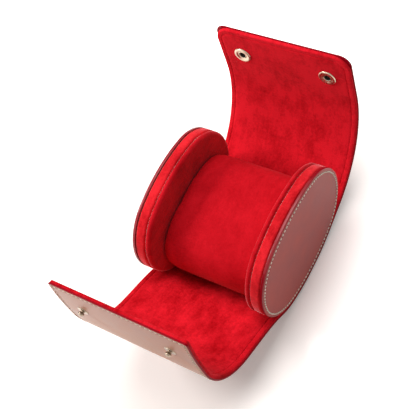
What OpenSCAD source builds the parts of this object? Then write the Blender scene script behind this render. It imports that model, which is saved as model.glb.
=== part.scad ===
// Travel case for one watch: two oval end caps, a soft wrap that folds round them, and a loose pillow.
// X runs along the roll, Y from the front flap to the rear flap, Z up.
// The origin is the middle of the flat underside, and the case stands open.

/* [Wrap] */
// Width of the wrap between its side edges
wrap_w = 100; // [84:1:130]
// Thickness of the outer leather
leather_t = 1.2; // [0.9:0.1:1.8]
// Thickness of the padded lining
lining_t = 2.2; // [1.8:0.1:3]
// Bare leather left around the lining
lining_inset = 0.8; // [0.4:0.1:1.5]
// Depth of the flat that the leather stands on
foot_depth = 0.4; // [0.2:0.05:0.5]

/* [Front flap] */
// Angle at which the front leaves the end caps
front_leave = 38; // [20:1:45]
// Length that bends gently back, towards the table
front_sweep = 24; // [16:1:32]
// Angle of that gentle bend
front_sweep_turn = 14; // [4:1:18]
// Straight length before the flap turns up
front_straight = 22; // [16:1:34]
// Length over which the flap turns up
front_turn_len = 54; // [40:1:70]
// Angle through which the flap turns up
front_turn = 66; // [40:1:70]
// Length of the nearly straight end
front_end_len = 46; // [34:1:56]
// Angle that the end still turns
front_end_turn = 8; // [2:1:15]
// Corner radius of the front flap
front_corner = 2; // [1.5:0.5:6]

/* [Rear flap] */
// Straight length behind the end caps
rear_straight = 20; // [16:1:26]
// Length over which the flap turns up
rear_turn_len = 82; // [78:1:100]
// Angle through which the flap turns up
rear_turn = 70; // [50:1:76]
// Length of the flap past its sockets
rear_past_sockets = 22.5; // [16:0.1:32]
// Corner radius of the rear flap
rear_corner = 8; // [2:0.5:12]
// How much rounder the lining is cut at those corners
rear_lining_trim = 4; // [0:0.5:6]

/* [Folding] */
// Angle of each front fold when the case is shut
front_fold = 17.9; // [10:0.1:20]
// Angle of each lower rear fold when the case is shut
rear_low_fold = 14.2; // [8:0.1:18]
// Angle of each upper rear fold when the case is shut
rear_top_fold = 16.5; // [8:0.1:20]
// Gap left between two strips of the wrap
strip_gap = 0.16; // [0.1:0.02:0.3]

/* [End caps] */
// Length of the oval
cap_len = 107; // [95:1:125]
// Height of the oval
cap_h = 77; // [74:1:84]
// Radius of the oval's two ends
cap_end_r = 36; // [34:0.5:36.5]
// Thickness of a cap's padded inner panel
pad_t = 3.7; // [3:0.1:6]
// Width of the suede band around a cap
band_w = 7.4; // [5:0.1:12]
// Thickness of the leather-covered outer board
board_t = 2.4; // [2:0.1:4]
// Depth of the joints between the layers of a cap
seam_depth = 0.7; // [0.4:0.1:1.2]
// Width of those joints
seam_w = 0.25; // [0.15:0.05:0.5]
// Thickness of the suede round the band
band_t = 1.2; // [0.8:0.1:2]
// Thickness of the leather on a cap
cap_skin_t = 0.9; // [0.6:0.1:1.2]
// How far a cap stands out past the wrap's side edge
cap_proud = 0.5; // [0:0.1:1.5]
// Thickness of the glue between caps and lining
glue_t = 0.1; // [0.05:0.01:0.2]

/* [Stitching] */
// Diameter of the thread
thread_d = 0.6; // [0.4:0.1:1]
// Distance of the stitching from an edge
stitch_edge = 2.4; // [2:0.1:4]

/* [Pillow] */
// Length of the pillow's oval
pillow_len = 90; // [70:1:96]
// Height of the pillow's oval
pillow_h = 57; // [44:1:60]
// Gap between the pillow and each cap
pillow_gap = 1; // [0.6:0.1:3]
// How far the pillow's sewn edges are drawn in
pillow_draw = 2.6; // [1:0.1:4]
// Wall of the pillow's padded cover at its sewn edges
cover_t = 2.2; // [1.5:0.1:4]
// Thickness of a pillow end panel
end_panel_t = 1.6; // [1:0.1:3]
// Clearance under the middle of the pillow
pillow_clear = 0.7; // [0.6:0.05:2]

/* [Snaps] */
// Distance of each snap from the middle
snap_x = 32; // [20:1:36]
// Distance of the studs from the front edge
stud_edge = 22.5; // [20:0.5:26]
// Height of a stud above the leather
stud_h = 3.8; // [3.4:0.1:3.9]
// Diameter of a stud's ball head
stud_d = 4; // [3:0.1:4.4]
// Diameter of a stud's flange
stud_flange_d = 8; // [6:0.5:10]
// Thickness of a stud's flange
stud_flange_t = 0.45; // [0.3:0.05:0.6]
// Outer diameter of a socket's ring
socket_d = 12.5; // [10:0.5:14]
// Height of a socket's ring above the lining
socket_proud = 1.1; // [0.8:0.1:1.2]
// Clearance between a stud's head and its socket
snap_clear = 0.6; // [0.4:0.1:0.8]
// Diameter of the rivets behind studs and sockets
rivet_d = 2.8; // [2:0.1:3.4]
// Height of the domed cap on the rear flap
button_h = 1.4; // [0.8:0.1:2.5]

/* [Hidden] */

$fn = 96;
fit = 0.05;             // clearance round glued and riveted pieces
cut = 1;                // how far a cutter runs past what it cuts
flat_turn = 2;          // most that one flat of a bent stretch turns
sliver = 0.01;          // a flat shorter than this is left out
suede = [0.80, 0.06, 0.09];
hide = [0.42, 0.16, 0.16];
thread = [0.84, 0.78, 0.68];
brass = [0.80, 0.70, 0.50];

// Oval: two end arcs and two long side arcs that meet them smoothly
end_y = cap_len / 2 - cap_end_r;
half_h = cap_h / 2;
side_c = (end_y * end_y - pow(half_h - cap_end_r, 2)) / (2 * (half_h - cap_end_r));
side_r = half_h + side_c;
join_a = atan2(end_y, side_c);

wrap_t = leather_t + lining_t;
bond = 0.02;             // film of glue between the leather and the lining
leather_top = lining_t + bond;
inner_z = wrap_t - foot_depth;            // lowest point of the lining's inner face
cap_z = inner_z + glue_t + half_h;        // height of the caps' middle
cap_t = pad_t + band_w + board_t + 2 * seam_w;
cap_out = wrap_w / 2 + cap_proud;         // outer face of a cap
cap_in = cap_out - cap_t;                 // inner face of a cap
lining_w = wrap_w - 2 * lining_inset;

// The wrap's inner face as stretches of [length, turn], from the middle of the base outwards
function arc_len(r, a) = r * a * PI / 180;
base_half = arc_len(side_r + glue_t, join_a);
front_hug = arc_len(cap_end_r + glue_t, front_leave - join_a);
front_run = [[base_half, join_a], [front_hug, front_leave - join_a], [front_sweep, -front_sweep_turn],
    [front_straight, 0], [front_turn_len, front_turn], [front_end_len, front_end_turn]];
function rear_with(end_len) = [[base_half, join_a], [rear_straight, 0], [rear_turn_len, rear_turn],
    [end_len, 0]];
function total(run, i = 0) = i == len(run) ? 0 : run[i][0] + total(run, i + 1);
front_len = total(front_run);

// Where the wrap folds, measured from the lines along which it leaves the end caps
front_free = base_half + front_hug;
front_cuts = [for (s = [8, 16, 24, 34, 46]) front_free + s];
rear_cuts = [for (s = [7, 15, 29, 43, 91, 102]) base_half + s];
front_folds = [for (c = front_cuts) front_fold];
rear_folds = [for (i = [0:5]) i < 4 ? rear_low_fold : rear_top_fold];

// Point and heading at a distance along a run
function bend_to(p, a, l, t) = abs(t) < 0.001 ? [p + l * [cos(a), sin(a)], a]
    : let (r = l / (t * PI / 180)) [p + r * [sin(a + t) - sin(a), cos(a) - cos(a + t)], a + t];
function walk(run, s, p = [0, inner_z], a = 0, i = 0) =
    i == len(run) - 1 || s <= run[i][0]
    ? bend_to(p, a, s, run[i][1] * s / run[i][0])
    : let (q = bend_to(p, a, run[i][0], run[i][1])) walk(run, s - run[i][0], q[0], q[1], i + 1);

// The same point when the case is shut: each fold turns all that lies beyond it
function turned(v, a) = [v.x * cos(a) - v.y * sin(a), v.x * sin(a) + v.y * cos(a)];
function folded(folds, k) = k < 0 ? 0 : folds[k] + folded(folds, k - 1);
function shut_hinge(run, cuts, folds, k) = k == 0 ? walk(run, cuts[0])[0]
    : shut_hinge(run, cuts, folds, k - 1)
    + turned(walk(run, cuts[k])[0] - walk(run, cuts[k - 1])[0], folded(folds, k - 1));

// The studs' place when shut decides where the sockets go, and so how long the rear flap is
stud_s = front_len - stud_edge;
front_last = len(front_cuts) - 1;
rear_last = len(rear_cuts) - 1;
stud_open = walk(front_run, stud_s);
stud_face = stud_open[0] + wrap_t * [sin(stud_open[1]), -cos(stud_open[1])];
stud_shut = shut_hinge(front_run, front_cuts, front_folds, front_last)
    + turned(stud_face - walk(front_run, front_cuts[front_last])[0], folded(front_folds, front_last));
rear_open = rear_with(rear_past_sockets);
rear_root = shut_hinge(rear_open, rear_cuts, rear_folds, rear_last);
rear_heading = walk(rear_open, rear_cuts[rear_last])[1] + folded(rear_folds, rear_last);
socket_reach = [-stud_shut.x, stud_shut.y] - rear_root;
socket_s = rear_cuts[rear_last] + socket_reach * [cos(rear_heading), sin(rear_heading)];
rear_len = socket_s + rear_past_sockets;
rear_run = rear_with(rear_len - total(rear_with(0)));

// Local frame on the wrap's inner face: Y along the run, Z towards the inside
module on_run(run, s) {
    q = walk(run, s);
    translate([0, q[0].x, q[0].y]) rotate([q[1], 0, 0]) children();
}

// Outline points across the sheet at a distance along a run, at a depth below its inner face
function at_depth(run, s, d) = let (q = walk(run, s)) q[0] + d * [sin(q[1]), -cos(q[1])];

// Section of one stretch of sheet, from depth d0 to depth d1, as narrow flats that share their corners
module stretch(run, i, start, a, b, d0, d1) {
    flats = ceil(abs(run[i][1]) / flat_turn);
    corners = [for (k = [1:1:flats - 1]) start + run[i][0] * k / flats];
    marks = [a, for (s = corners) if (s > a + sliver && s < b - sliver) s, b];
    polygon([for (s = marks) at_depth(run, s, d0),
        for (k = [len(marks) - 1:-1:0]) at_depth(run, marks[k], d1)]);
}

// Section of all the sheet between two distances along a run
module section(run, s0, s1, d0, d1) {
    starts = [for (i = 0, s = 0; i < len(run); s = s + run[i][0], i = i + 1) s];
    for (i = [0:len(run) - 1]) {
        a = max(s0, starts[i]);
        b = min(s1, starts[i] + run[i][0]);
        if (b - a > sliver) stretch(run, i, starts[i], a, b, d0, d1);
    }
}
module across(w) {
    translate([-w / 2, 0, 0]) rotate([90, 0, 90]) linear_extrude(w) children();
}
module strip(run, s0, s1, d0, d1, w) {
    across(w) section(run, s0, s1, d0, d1);
}

// Takes the square corners off the end of a flap
module corner_cuts(run, s, w, r) {
    on_run(run, s) for (m = [0, 1]) mirror([m, 0, 0]) translate([w / 2 - r, -r, -wrap_t - cut])
        difference() {
            cube([r + cut, r + cut, wrap_t + 2 * cut]);
            translate([0, 0, -cut]) cylinder(r = r, h = wrap_t + 4 * cut);
        }
}

module leather_strip(run, s0, s1) {
    color(hide) strip(run, s0 + strip_gap / 2, s1 - strip_gap / 2, leather_top, wrap_t, wrap_w);
}
module lining_strip(run, s0, s1) {
    color(suede) strip(run, s0 + strip_gap / 2, s1 - strip_gap / 2, 0, lining_t, lining_w);
}
module front() {
    mirror([0, 1, 0]) children();
}

// The base is one section: the caps' underside with the first few millimetres of both flaps
module base_section(d0, d1) {
    mirror([1, 0]) section(front_run, 0, front_cuts[0] - strip_gap / 2, d0, d1);
    section(rear_run, 0, rear_cuts[0] - strip_gap / 2, d0, d1);
}
module wrap_base_leather() {
    color(hide) across(wrap_w) difference() {
        base_section(leather_top, wrap_t);
        translate([-cap_len, -2 * wrap_t]) square([2 * cap_len, 2 * wrap_t]);
    }
}
module wrap_base_lining() {
    color(suede) across(lining_w) base_section(0, lining_t);
}
module front_strip_leather(i) {
    front() leather_strip(front_run, front_cuts[i - 1], front_cuts[i]);
}
module front_strip_lining(i) {
    front() lining_strip(front_run, front_cuts[i - 1], front_cuts[i]);
}
module rear_strip_leather(i) {
    leather_strip(rear_run, rear_cuts[i - 1], rear_cuts[i]);
}
module rear_strip_lining(i) {
    lining_strip(rear_run, rear_cuts[i - 1], rear_cuts[i]);
}

// Puts a child at each of a flap's two snaps, with Z towards the inside
module snap_pair(run, s) {
    on_run(run, s) for (x = [-snap_x, snap_x]) translate([x, 0, 0]) children();
}
back_d = stud_flange_d;                   // plate behind a stud
back_t = 0.6;
neck_step = 0.6;                          // how far a stud's neck lies inside its ball
socket_wall = 1;
barrel_d = stud_d + 2 * (snap_clear + socket_wall);
tail_flange_d = stud_d;                   // flange that holds a button's shank in its socket

module front_flap_leather() {
    s0 = front_cuts[front_last] + strip_gap / 2;
    color(hide) front() difference() {
        strip(front_run, s0, front_len, leather_top, wrap_t, wrap_w);
        corner_cuts(front_run, front_len, wrap_w, front_corner);
        snap_pair(front_run, stud_s) translate([0, 0, -wrap_t - cut])
            cylinder(d = rivet_d + 2 * fit, h = leather_t + 2 * cut);
    }
}
module front_flap_lining() {
    s0 = front_cuts[front_last] + strip_gap / 2;
    color(suede) front() difference() {
        strip(front_run, s0, front_len - lining_inset, 0, lining_t, lining_w);
        corner_cuts(front_run, front_len - lining_inset, lining_w, front_corner - lining_inset);
        snap_pair(front_run, stud_s) translate([0, 0, -lining_t - cut])
            cylinder(d = back_d + 4 * fit, h = back_t + 4 * fit + cut);
    }
}
module rear_flap_leather() {
    s0 = rear_cuts[rear_last] + strip_gap / 2;
    color(hide) difference() {
        strip(rear_run, s0, rear_len, leather_top, wrap_t, wrap_w);
        corner_cuts(rear_run, rear_len, wrap_w, rear_corner);
        snap_pair(rear_run, socket_s) translate([0, 0, -wrap_t - cut])
            cylinder(d = rivet_d + 2 * fit, h = leather_t + 2 * cut);
    }
}
module rear_flap_lining() {
    s0 = rear_cuts[rear_last] + strip_gap / 2;
    color(suede) difference() {
        strip(rear_run, s0, rear_len - lining_inset, 0, lining_t, lining_w);
        corner_cuts(rear_run, rear_len - lining_inset, lining_w, rear_corner - lining_inset + rear_lining_trim);
        snap_pair(rear_run, socket_s) translate([0, 0, -lining_t - cut])
            cylinder(d = barrel_d + 4 * fit, h = lining_t + 2 * cut);
    }
}

// One row of thread across the end of a flap, lying on the leather
module end_thread(run, s, w) {
    color(thread) on_run(run, s) translate([-w / 2, 0, -wrap_t - thread_d / 2 - fit])
        rotate([0, 90, 0]) cylinder(d = thread_d, h = w, $fn = 24);
}
module front_flap_thread() {
    front() end_thread(front_run, front_len - stitch_edge, wrap_w - 2 * (stitch_edge + front_corner));
}
module rear_flap_thread() {
    end_thread(rear_run, rear_len - stitch_edge, wrap_w - 2 * (stitch_edge + rear_corner));
}

// Stands a cap's outline up: its plane becomes YZ and its thickness runs outwards along X
module cap_side(side) {
    mirror([side < 0 ? 1 : 0, 0, 0]) translate([cap_in, 0, cap_z]) rotate([90, 0, 90]) children();
}

// Solid oval, drawn in by a distance, between two heights
module oval(inset, z0, z1) {
    far = 2 * cap_end_r;
    ray = far * [sin(join_a), cos(join_a)];
    translate([0, 0, z0]) linear_extrude(z1 - z0) union() {
        for (m = [0, 1]) mirror([0, m, 0]) intersection() {
            translate([0, -side_c]) circle(r = side_r - inset, $fn = 180);
            polygon([[-end_y, 0], [end_y, 0], [end_y + ray.x, ray.y], [-end_y - ray.x, ray.y]]);
        }
        for (m = [0, 1]) mirror([m, 0, 0]) intersection() {
            translate([end_y, 0]) circle(r = cap_end_r - inset);
            polygon([[end_y, 0], [end_y + ray.x, -ray.y], [end_y + far, -ray.y], [end_y + far, ray.y],
                [end_y + ray.x, ray.y]]);
        }
    }
}

// Hollow oval between two distances in from the outline
module oval_ring_solid(inset0, inset1, z0, z1) {
    difference() {
        oval(inset0, z0, z1);
        oval(inset1, z0 - cut, z1 + cut);
    }
}

// Outline point of the oval whose outward direction is at an angle
function oval_at(a, inset) = abs(sin(a)) > cos(join_a)
    ? [0, -sign(sin(a)) * side_c] + (side_r - inset) * [cos(a), sin(a)]
    : [sign(cos(a)) * end_y, 0] + (cap_end_r - inset) * [cos(a), sin(a)];

// Closed solid lofted through rings of points, all with the same number of points
module loft(rings) {
    n = len(rings[0]);
    last = len(rings) - 1;
    quads = [for (k = [0:last - 1]) for (i = [0:n - 1]) [k * n + i, k * n + (i + 1) % n,
        (k + 1) * n + (i + 1) % n, (k + 1) * n + i]];
    sides = [for (q = quads) each [[q[0], q[2], q[1]], [q[0], q[3], q[2]]]];
    ends = [[for (i = [0:n - 1]) i], [for (i = [0:n - 1]) last * n + n - 1 - i]];
    polyhedron([for (r = rings) each r], concat(sides, ends));
}

pad_round = 2.4;                          // rounding of the pad's inner edge
pad_points = 48;
pad_angles = [for (i = [0:pad_points - 1]) 360 * i / pad_points];
band_z = pad_t + seam_w;
board_z = band_z + band_w + seam_w;
core_inset = band_t + fit;

module cap_pad(side) {
    heights = [for (a = [0:22.5:90]) pad_round * (1 - cos(a))];
    color(suede) cap_side(side) loft([for (h = concat(heights, [pad_t]))
        let (d = h >= pad_round ? 0 : pad_round - sqrt(pow(pad_round, 2) - pow(pad_round - h, 2)))
        [for (a = pad_angles) let (p = oval_at(a, d)) [p.x, p.y, h]]]);
}
module cap_band(side) {
    color(suede) cap_side(side) oval_ring_solid(0, band_t, band_z, band_z + band_w);
}
module cap_core(side) {
    color("tan") cap_side(side) union() {
        oval(core_inset, band_z, band_z + band_w);
        oval(seam_depth + core_inset, pad_t, board_z);
    }
}
module cap_board(side) {
    color("tan") cap_side(side) oval(cap_skin_t + fit, board_z, board_z + board_t - cap_skin_t - fit);
}
module cap_leather(side) {
    color(hide) cap_side(side) difference() {
        oval(0, board_z, board_z + board_t);
        oval(cap_skin_t, board_z - cut, board_z + board_t - cap_skin_t);
        thread_groove();
    }
}
thread_r = thread_d / 2;
module thread_groove() {
    half_w = thread_r + fit;
    oval_ring_solid(stitch_edge - half_w, stitch_edge + half_w, cap_t - thread_r, cap_t + cut);
}
module cap_thread(side) {
    z = cap_t - thread_r + fit;
    color(thread) cap_side(side)
        oval_ring_solid(stitch_edge - thread_r, stitch_edge + thread_r, z, z + thread_d);
}

// The pillow: an oval section that swells in the middle and is drawn in at its sewn ends
pillow_half = cap_in - pillow_gap;
pillow_z = inner_z + pillow_clear + pillow_h / 2;
pillow_power = 2.4;                       // squareness of the pillow's oval
ring_n = 36;
stations = [-1, -0.97, -0.9, -0.7, -0.35, 0, 0.35, 0.7, 0.9, 0.97, 1];
function edge_power(v) = sign(v) * pow(abs(v), 2 / pillow_power);
function drawn(u) = pillow_draw * pow(abs(u), 5);
function oval_ring(x, d) = [for (i = [0:ring_n - 1]) let (a = 360 * i / ring_n)
    [x, (pillow_len / 2 - d) * edge_power(cos(a)), pillow_z + (pillow_h / 2 - d) * edge_power(sin(a))]];
module pillow_body() {
    loft([for (u = stations) oval_ring(pillow_half * u, drawn(u))]);
}
module pillow_prism(d, x0, x1) {
    translate([x0, 0, 0]) rotate([90, 0, 90]) linear_extrude(x1 - x0)
        polygon([for (p = oval_ring(0, d)) [p.y, p.z]]);
}
mouth = pillow_draw + cover_t;
module pillow_cover() {
    color(suede) difference() {
        pillow_body();
        pillow_prism(mouth, -pillow_half - cut, pillow_half + cut);
    }
}
module pillow_foam() {
    inner_half = pillow_half - end_panel_t - fit;
    color("ivory") pillow_prism(mouth + 4 * fit, -inner_half, inner_half);
}
module pillow_panel(side) {
    color(suede) mirror([side < 0 ? 1 : 0, 0, 0])
        pillow_prism(mouth + 4 * fit, pillow_half - end_panel_t, pillow_half);
}

// Snaps: a ball stud with its back plate, and a ring socket with its domed button
module snap_studs() {
    ball_r = stud_d / 2;
    neck_r = ball_r - neck_step;
    color(brass) front() snap_pair(front_run, stud_s) rotate([180, 0, 0]) union() {
        translate([0, 0, lining_t - back_t / 2]) cylinder(d = rivet_d, h = leather_t + back_t / 2 + cut / 2);
        translate([0, 0, wrap_t + fit]) cylinder(d = stud_flange_d, h = stud_flange_t);
        translate([0, 0, wrap_t + fit]) cylinder(r = neck_r, h = stud_h - ball_r);
        intersection() {
            translate([0, 0, wrap_t + stud_h - ball_r]) sphere(r = ball_r, $fn = 48);
            translate([0, 0, wrap_t + fit]) cylinder(d = stud_flange_d, h = stud_h);
        }
    }
}
module stud_backs() {
    color(brass) front() snap_pair(front_run, stud_s) translate([0, 0, 2 * fit - lining_t]) difference() {
        cylinder(d = back_d, h = back_t);
        translate([0, 0, -cut]) cylinder(d = rivet_d + 2 * fit, h = back_t + 2 * cut);
    }
}
module snap_sockets() {
    bore_r = stud_d / 2 + snap_clear;
    color(brass) snap_pair(rear_run, socket_s) difference() {
        union() {
            translate([0, 0, -lining_t + fit]) cylinder(d = barrel_d, h = lining_t);
            translate([0, 0, fit]) cylinder(d = socket_d, h = socket_proud - fit);
        }
        translate([0, 0, -lining_t]) cylinder(r = bore_r, h = wrap_t + 2 * cut);
    }
}
module snap_buttons() {
    dome_r = (socket_d * socket_d / 4 + button_h * button_h) / (2 * button_h);
    color(brass) snap_pair(rear_run, socket_s) rotate([180, 0, 0]) union() {
        translate([0, 0, lining_t - fit]) cylinder(d = rivet_d, h = leather_t + 2 * fit + button_h / 2);
        translate([0, 0, lining_t - 2 * fit]) cylinder(d = tail_flange_d, h = fit);
        intersection() {
            translate([0, 0, wrap_t + fit + button_h - dome_r]) sphere(r = dome_r, $fn = 96);
            translate([0, 0, wrap_t + fit]) cylinder(d = socket_d, h = button_h + cut);
        }
    }
}

wrap_base_leather();
wrap_base_lining();
front_strip_leather(1);  // front_strip_1_leather
front_strip_lining(1);  // front_strip_1_lining
front_strip_leather(2);  // front_strip_2_leather
front_strip_lining(2);  // front_strip_2_lining
front_strip_leather(3);  // front_strip_3_leather
front_strip_lining(3);  // front_strip_3_lining
front_strip_leather(4);  // front_strip_4_leather
front_strip_lining(4);  // front_strip_4_lining
front_flap_leather();
front_flap_lining();
front_flap_thread();
rear_strip_leather(1);  // rear_strip_1_leather
rear_strip_lining(1);  // rear_strip_1_lining
rear_strip_leather(2);  // rear_strip_2_leather
rear_strip_lining(2);  // rear_strip_2_lining
rear_strip_leather(3);  // rear_strip_3_leather
rear_strip_lining(3);  // rear_strip_3_lining
rear_strip_leather(4);  // rear_strip_4_leather
rear_strip_lining(4);  // rear_strip_4_lining
rear_strip_leather(5);  // rear_strip_5_leather
rear_strip_lining(5);  // rear_strip_5_lining
rear_flap_leather();
rear_flap_lining();
rear_flap_thread();
cap_leather(-1);  // left_cap_leather
cap_board(-1);  // left_cap_board
cap_core(-1);  // left_cap_core
cap_band(-1);  // left_cap_band
cap_pad(-1);  // left_cap_pad
cap_thread(-1);  // left_cap_thread
cap_leather(1);  // right_cap_leather
cap_board(1);  // right_cap_board
cap_core(1);  // right_cap_core
cap_band(1);  // right_cap_band
cap_pad(1);  // right_cap_pad
cap_thread(1);  // right_cap_thread
pillow_cover();
pillow_foam();
pillow_panel(-1);  // pillow_left_panel
pillow_panel(1);  // pillow_right_panel
snap_studs();
stud_backs();
snap_sockets();
snap_buttons();
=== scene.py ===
import math

import bmesh
import bpy
import numpy as np
from mathutils import Matrix, Vector


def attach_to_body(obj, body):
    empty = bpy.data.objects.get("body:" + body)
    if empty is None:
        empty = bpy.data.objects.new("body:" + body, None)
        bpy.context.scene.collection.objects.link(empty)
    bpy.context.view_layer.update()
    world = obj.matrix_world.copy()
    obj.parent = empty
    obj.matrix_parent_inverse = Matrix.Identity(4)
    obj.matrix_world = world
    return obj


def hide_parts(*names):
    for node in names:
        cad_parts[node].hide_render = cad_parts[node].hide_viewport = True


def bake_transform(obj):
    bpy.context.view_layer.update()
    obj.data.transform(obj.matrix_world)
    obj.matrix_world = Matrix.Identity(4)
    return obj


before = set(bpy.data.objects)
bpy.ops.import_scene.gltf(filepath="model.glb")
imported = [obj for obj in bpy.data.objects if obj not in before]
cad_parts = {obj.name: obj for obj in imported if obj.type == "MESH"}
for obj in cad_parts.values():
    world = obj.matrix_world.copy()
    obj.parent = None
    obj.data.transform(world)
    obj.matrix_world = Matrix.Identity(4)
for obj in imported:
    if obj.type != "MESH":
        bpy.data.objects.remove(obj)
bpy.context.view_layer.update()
print("frame loaded:", len(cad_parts), "nodes")

rng = np.random.default_rng(7)
mm = 0.001
xAxis = np.array([1.0, 0, 0])


def gridQuads(rows, cols, start=0, wrapCols=False):
    # one quad between each pair of neighbouring rows and columns
    i = np.arange(rows - 1)[:, None]
    j = np.arange(cols if wrapCols else cols - 1)[None, :]
    k = (j + 1) % cols
    quads = np.stack([i * cols + j, i * cols + k, (i + 1) * cols + k, (i + 1) * cols + j], axis=-1)
    return quads.reshape(-1, 4) + start


def loopQuads(rows, cols):
    # quads that join the last ring to the first
    j = np.arange(cols)
    k = (j + 1) % cols
    last = (rows - 1) * cols
    return np.stack([last + j, last + k, k, j], axis=-1)


def fanTriangles(ring, cols, tip):
    # triangles from one ring to the point in its middle
    j = np.arange(cols)
    return np.stack([ring * cols + j, ring * cols + (j + 1) % cols, np.full(cols, tip)], axis=-1)


def addPiece(name, points, faces, material, uv=None, sharp=38.0):
    # closed mesh with outward faces, smooth except across edges sharper than the given angle
    mesh = bpy.data.meshes.new(name)
    mesh.from_pydata(points.tolist(), [], faces)
    work = bmesh.new()
    work.from_mesh(mesh)
    bmesh.ops.recalc_face_normals(work, faces=work.faces)
    work.to_mesh(mesh)
    work.free()
    if uv is not None:
        layer = mesh.uv_layers.new(name="sheet")
        index = np.zeros(len(mesh.loops), np.int32)
        mesh.loops.foreach_get("vertex_index", index)
        layer.data.foreach_set("uv", uv[index].astype(np.float32).ravel())
    mesh.shade_smooth()
    mesh.set_sharp_from_angle(angle=math.radians(sharp))
    mesh.materials.append(material)
    obj = bpy.data.objects.new(name, mesh)
    bpy.context.scene.collection.objects.link(obj)
    return obj


def smoothStep(t):
    # 0 below 0, 1 above 1, and three t squared less two t cubed between them
    t = np.clip(t, 0, 1)
    return t * t * (3 - 2 * t)


# Colours of every finish, as linear red, green and blue
looks = {
    "suedeLit": (0.70, 0.011, 0.022),
    "suedeDeep": (0.34, 0.001, 0.004),
    # painted light: the bands' red, brighter than the same suede's lit red elsewhere
    "bandPaintedLight": (0.86, 0.024, 0.034),
    "suedeSheen": (1.0, 0.42, 0.45),
    "hide": (0.25, 0.048, 0.026),
    "hideLight": (0.34, 0.086, 0.044),
    "hideSheen": (1.0, 0.82, 0.58),
    # painted light: the caps' leather, the same as the wrap's, kept brighter and redder for cap faces that
    # sit in shade
    "capHide": (0.34, 0.036, 0.030),
    "capHideLight": (0.44, 0.064, 0.050),
    "edge": (0.26, 0.002, 0.008),
    "rim": (0.30, 0.001, 0.010),
    "threadLight": (0.95, 0.89, 0.78),
    "threadDark": (0.72, 0.62, 0.48),
    "flapThread": (0.70, 0.60, 0.46),
    "flapThreadDark": (0.48, 0.38, 0.27),
    # painted shade: near-black for the shaded inside of each needle hole
    "needleHoleShade": (0.05, 0.012, 0.010),
    "redThread": (0.42, 0.004, 0.008),
    "gold": (0.56, 0.45, 0.33),
    "goldDark": (0.26, 0.19, 0.13),
    "worn": (0.30, 0.23, 0.17),
    "wornDark": (0.10, 0.07, 0.05),
    # painted shade: near-black for the depth of each socket's bore
    "cup": (0.04, 0.028, 0.024),
    "cupDark": (0.02, 0.014, 0.012),
    "card": (0.45, 0.36, 0.27),
    "cardDark": (0.33, 0.25, 0.18),
    "foam": (0.85, 0.82, 0.74),
    "foamDark": (0.62, 0.58, 0.5),
}
suede = {
    "patches": 40,  # noise scale of the brushed areas of nap, 2 to 3 cm wide
    "strokes": 170,  # finger strokes
    "strokeStretch": (1.0, 0.4, 1.0),
    "strokeWeight": 0.30,
    "tufts": 520,  # nap leaning this way and that, 2 mm wide
    "tuftWeight": 0.28,
    "fuzz": 2600,  # the nap itself
    "speck": 0.30,  # most of the deep colour between the fibres
    "paintedLiftFrom": -0.05,  # metres along the wrap where the painted light on the suede starts to lighten it
    "paintedLiftTo": 0.15,
    "depth": 0.35 * mm,
}
leather = {
    "clouds": 55,
    "grain": 1500.0,
    "pores": 2300,
    "depth": 0.04 * mm,
    "coatRough": 0.22,
    "sheenRough": 0.35,
}


class Look:
    # a material with its shader, and short ways to add nodes to it
    def __init__(self, name, coords):
        self.mat = bpy.data.materials.new(name)
        self.mat.use_nodes = True
        self.nodes = self.mat.node_tree.nodes
        self.links = self.mat.node_tree.links
        self.shader = self.nodes["Principled BSDF"]
        source = self.nodes.new("ShaderNodeTexCoord")
        self.vector = source.outputs[coords]

    def set(self, **values):
        # shader sockets by name, with _ for a space
        for key, value in values.items():
            socket = self.shader.inputs[key.replace("_", " ")]
            isColour = isinstance(value, tuple) and len(value) == 3
            socket.default_value = (*value, 1.0) if isColour else value

    def add(self, kind, **values):
        # a node, with its sockets or settings given by name
        made = self.nodes.new(kind)
        for key, value in values.items():
            if key in made.inputs:
                made.inputs[key].default_value = value
            else:
                setattr(made, key, value)
        return made

    def stretched(self, scale, shift=(0.0, 0.0, 0.0)):
        # the coordinates, scaled and shifted
        mapping = self.add("ShaderNodeMapping")
        mapping.inputs["Scale"].default_value = scale
        mapping.inputs["Location"].default_value = shift
        self.links.new(self.vector, mapping.inputs["Vector"])
        return mapping.outputs["Vector"]

    def noise(self, scale, detail, rough, vector=None):
        # soft noise from 0 to 1
        made = self.add("ShaderNodeTexNoise", Scale=scale, Detail=detail, Roughness=rough)
        self.links.new(vector or self.vector, made.inputs["Vector"])
        return made.outputs["Fac"]

    def ramp(self, factor, low, high, dark=0.0, bright=1.0):
        # straight line from dark at low to bright at high
        made = self.add("ShaderNodeMapRange")
        for key, value in (("From Min", low), ("From Max", high), ("To Min", dark), ("To Max", bright)):
            made.inputs[key].default_value = value
        self.links.new(factor, made.inputs["Value"])
        return made.outputs["Result"]

    def sum(self, a, b, weight):
        # a plus the weight times b
        made = self.add("ShaderNodeMath", operation="MULTIPLY_ADD")
        made.inputs[1].default_value = weight
        self.links.new(b, made.inputs[0])
        self.links.new(a, made.inputs[2])
        return made.outputs["Value"]

    def mix(self, factor, a, b):
        # from a, a colour or another node's output, to the colour b
        made = self.add("ShaderNodeMix", data_type="RGBA")
        made.inputs["B"].default_value = (*b, 1.0)
        if isinstance(a, tuple):
            made.inputs["A"].default_value = (*a, 1.0)
        else:
            self.links.new(a, made.inputs["A"])
        self.links.new(factor, made.inputs["Factor"])
        return made.outputs["Result"]

    def colour(self, output):
        self.links.new(output, self.shader.inputs["Base Color"])

    def roughness(self, output):
        self.links.new(output, self.shader.inputs["Roughness"])

    def bump(self, height, distance, strength):
        # relief, with its full height as a distance in metres
        made = self.add("ShaderNodeBump", Strength=strength, Distance=distance)
        self.links.new(height, made.inputs["Height"])
        self.links.new(made.outputs["Normal"], self.shader.inputs["Normal"])


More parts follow.
